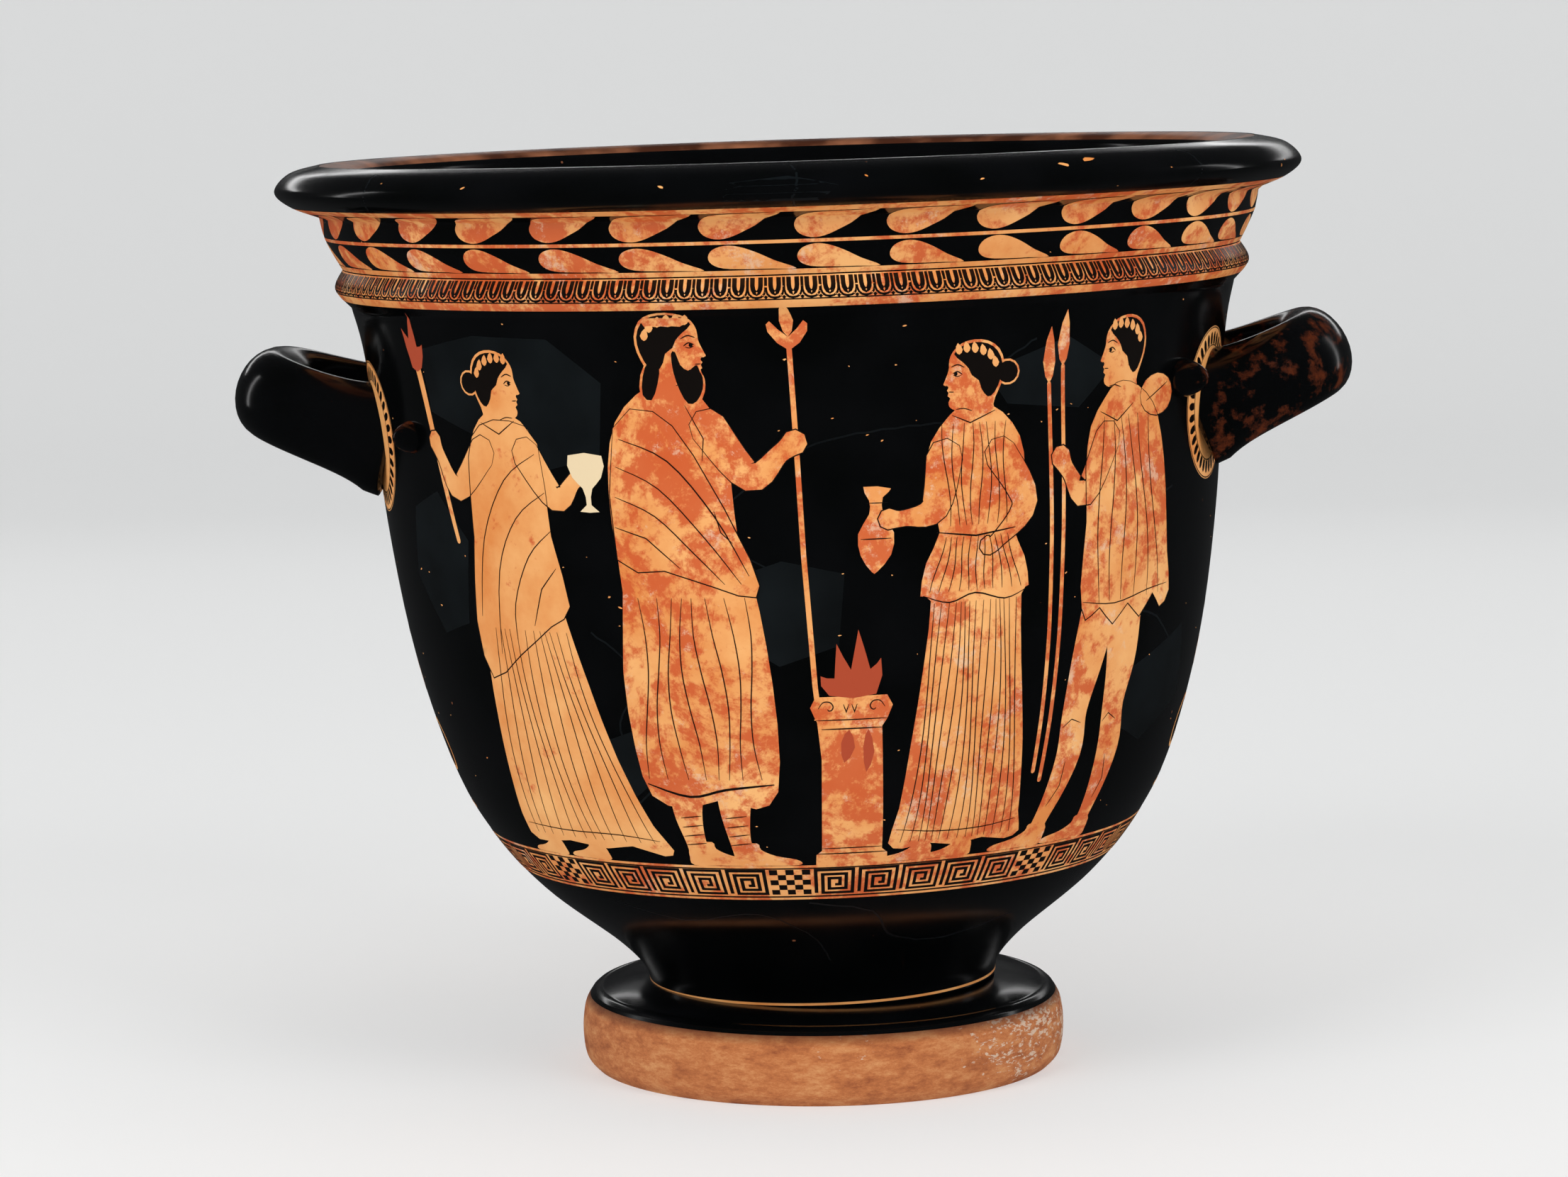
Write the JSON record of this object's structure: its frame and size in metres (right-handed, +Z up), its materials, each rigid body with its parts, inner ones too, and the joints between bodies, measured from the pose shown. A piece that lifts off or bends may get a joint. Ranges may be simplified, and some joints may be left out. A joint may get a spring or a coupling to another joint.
{
  "type": "krater",
  "caption": "Wide-mouthed bell-shaped clay vessel for mixing wine and water, with loop handles on the sides, on a disc foot.",
  "frame": {"origin": "middle of the bounding box in X and Y, on the ground under the foot", "axes": "+Z up, +X along the line of the handles, painted front towards -Y"},
  "size_m": [0.493, 0.45, 0.4103],
  "materials": {
    "black_slip": "glossy black slip, pitted and crazed with thin brown patches",
    "reserved_clay": "bare orange clay, mottled, faintly burnished",
    "painted_line": "fine raised-looking slip lines, drawn black to brown",
    "brown_wash": "thin brown wash on clay, rubbed",
    "added_white": "matt cream paint, worn",
    "fill": "satin dark slate retouching on restored areas"
  },
  "bodies": {
    "root": {"krater": "black_slip"}
  },
  "joints": []
}
